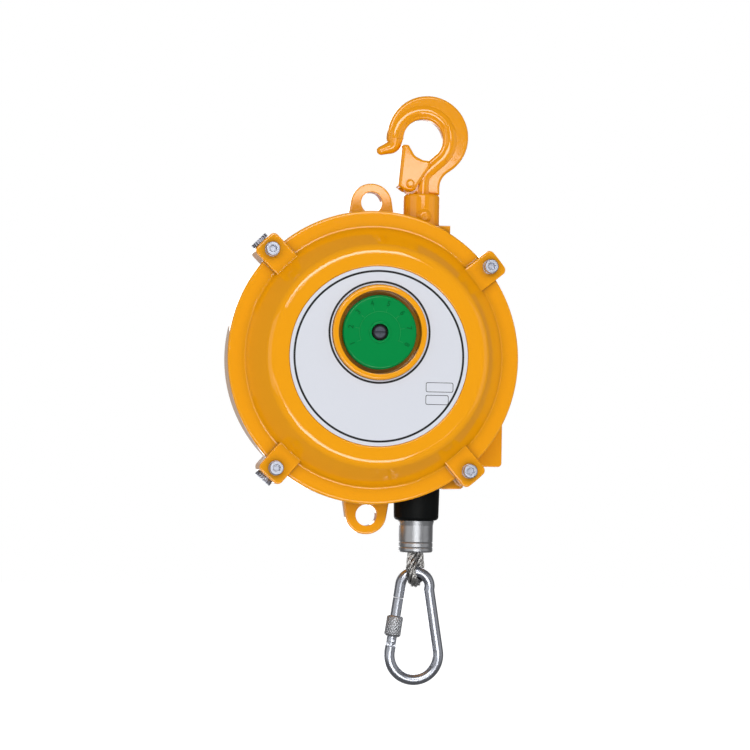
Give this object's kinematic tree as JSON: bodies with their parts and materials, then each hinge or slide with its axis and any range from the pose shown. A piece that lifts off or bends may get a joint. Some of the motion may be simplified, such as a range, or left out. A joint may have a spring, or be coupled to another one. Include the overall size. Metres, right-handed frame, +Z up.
{
  "type": "tool balancer",
  "caption": "Hanging spring balancer for hand tools: round die-cast housing with a swivel safety hook on top and a spring-loaded wire rope with a bumper and screw-gate carabiner below.",
  "frame": {"origin": "the highest point inside the top hook's bowl, where the balancer hangs", "axes": "+Z up along the load line, which the wire rope follows; the dial side faces -Y; the housing lies to -X of the load line"},
  "size_m": [0.2236, 0.116, 0.4552],
  "materials": {
    "housing_paint": "semi-gloss orange-yellow powder coat on die-cast aluminium",
    "hook_paint": "gloss orange-yellow paint on forged steel",
    "face_plate": "satin pale grey printed plate with thin black rings",
    "dial_plastic": "moulded green plastic with raised numerals",
    "black_steel": "black oxide",
    "zinc_steel": "bright zinc plate",
    "machined_steel": "turned steel",
    "spring_steel": "blued spring steel",
    "bronze": "turned bearing bronze",
    "nylon": "natural nylon",
    "cast_aluminium": "as-cast and turned aluminium",
    "ferrule_aluminium": "pressed bright aluminium",
    "wire_rope": "bright stranded steel wire",
    "carabiner_zinc": "polished zinc plate",
    "bumper_rubber": "moulded black rubber"
  },
  "bodies": {
    "housing": {"rear_case": "housing_paint", "front_cover": "housing_paint", "cover_screws": "zinc_steel", "cover_washers": "zinc_steel", "side_plugs": "zinc_steel", "face_label": "face_plate", "rope_guide_bush": "nylon", "front_bearing": "bronze", "rear_bearing": "bronze", "worm_upper_bush": "bronze", "worm_lower_bush": "bronze", "worm_end_plug": "machined_steel", "swivel_bush": "bronze"},
    "hook": {"lifting_hook": "hook_paint", "hook_socket": "hook_paint", "cross_pin": "hook_paint", "latch_pin": "hook_paint", "thrust_washer": "machined_steel", "swivel_nut": "zinc_steel", "split_pin": "zinc_steel"},
    "latch": {"hook_latch": "hook_paint", "latch_spring": "spring_steel"},
    "drum": {"rope_drum": "cast_aluminium", "drum_bushes": "bronze", "wound_rope": "wire_rope"},
    "spring_unit": {"spring_case": "cast_aluminium", "spring_case_lid": "machined_steel", "lid_screws": "zinc_steel", "worm_wheel": "bronze", "centre_shaft": "machined_steel", "shaft_key": "machined_steel", "shaft_circlip": "spring_steel", "main_spring": "spring_steel", "tension_dial": "dial_plastic", "dial_screw": "black_steel"},
    "worm": {"worm_shaft": "machined_steel"},
    "rope_end": {"rubber_bumper": "bumper_rubber", "rope_ferrule": "ferrule_aluminium", "rope_loop": "wire_rope", "rope_span": "wire_rope"},
    "carabiner": {"carabiner_body": "carabiner_zinc", "gate_pin": "carabiner_zinc"},
    "gate": {"carabiner_gate": "carabiner_zinc"},
    "sleeve": {"gate_sleeve": "carabiner_zinc"}
  },
  "joints": [
    {"name": "hook_swivel", "type": "hinge", "parent": "housing", "child": "hook", "pos_m": [0, 0, -0.09], "axis": [0, 0, 1], "continuous": true},
    {"name": "latch_pivot", "type": "hinge", "parent": "hook", "child": "latch", "pos_m": [-0.0104, 0, -0.0506], "axis": [0, 1, 0], "range_deg": [0, 40], "stiffness_Nm_per_rad": 0.03, "springref_deg": -22.92},
    {"name": "drum_turn", "type": "hinge", "parent": "housing", "child": "drum", "pos_m": [-0.039, 0, -0.168], "axis": [0, 1, 0], "range_deg": [0, 1574], "stiffness_Nm_per_rad": 0.12, "springref_deg": -3323.16, "deforming": ["main_spring"]},
    {"name": "rope_pull", "type": "slide", "parent": "housing", "child": "rope_end", "axis": [0, 0, -1], "range_m": [0, 1.3], "deforming": ["rope_span"]},
    {"name": "dial_turn", "type": "hinge", "parent": "housing", "child": "spring_unit", "pos_m": [-0.039, 0, -0.168], "axis": [0, 1, 0], "range_deg": [-115, 115]},
    {"name": "worm_turn", "type": "hinge", "parent": "housing", "child": "worm", "pos_m": [0.049, 0.031, -0.168], "axis": [0, 0, 1], "range_deg": [-5980, 5980]},
    {"name": "carabiner_swing", "type": "hinge", "parent": "rope_end", "child": "carabiner", "pos_m": [0, 0, -0.3611], "axis": [0, 1, 0], "range_deg": [-40, 40]},
    {"name": "gate_open", "type": "hinge", "parent": "carabiner", "child": "gate", "pos_m": [-0.0176, 0, -0.40248], "axis": [0, 1, 0], "range_deg": [0, 26], "stiffness_Nm_per_rad": 0.03, "springref_deg": -28.65},
    {"name": "sleeve_travel", "type": "slide", "parent": "gate", "child": "sleeve", "axis": [0.1453, 0, 0.9894], "range_m": [0, 0.016]}
  ],
  "couplings": [
    {"joint": "rope_pull", "follows": "drum_turn", "m_per_rad": 0.0473},
    {"joint": "worm_turn", "follows": "dial_turn", "ratio": 52}
  ]
}
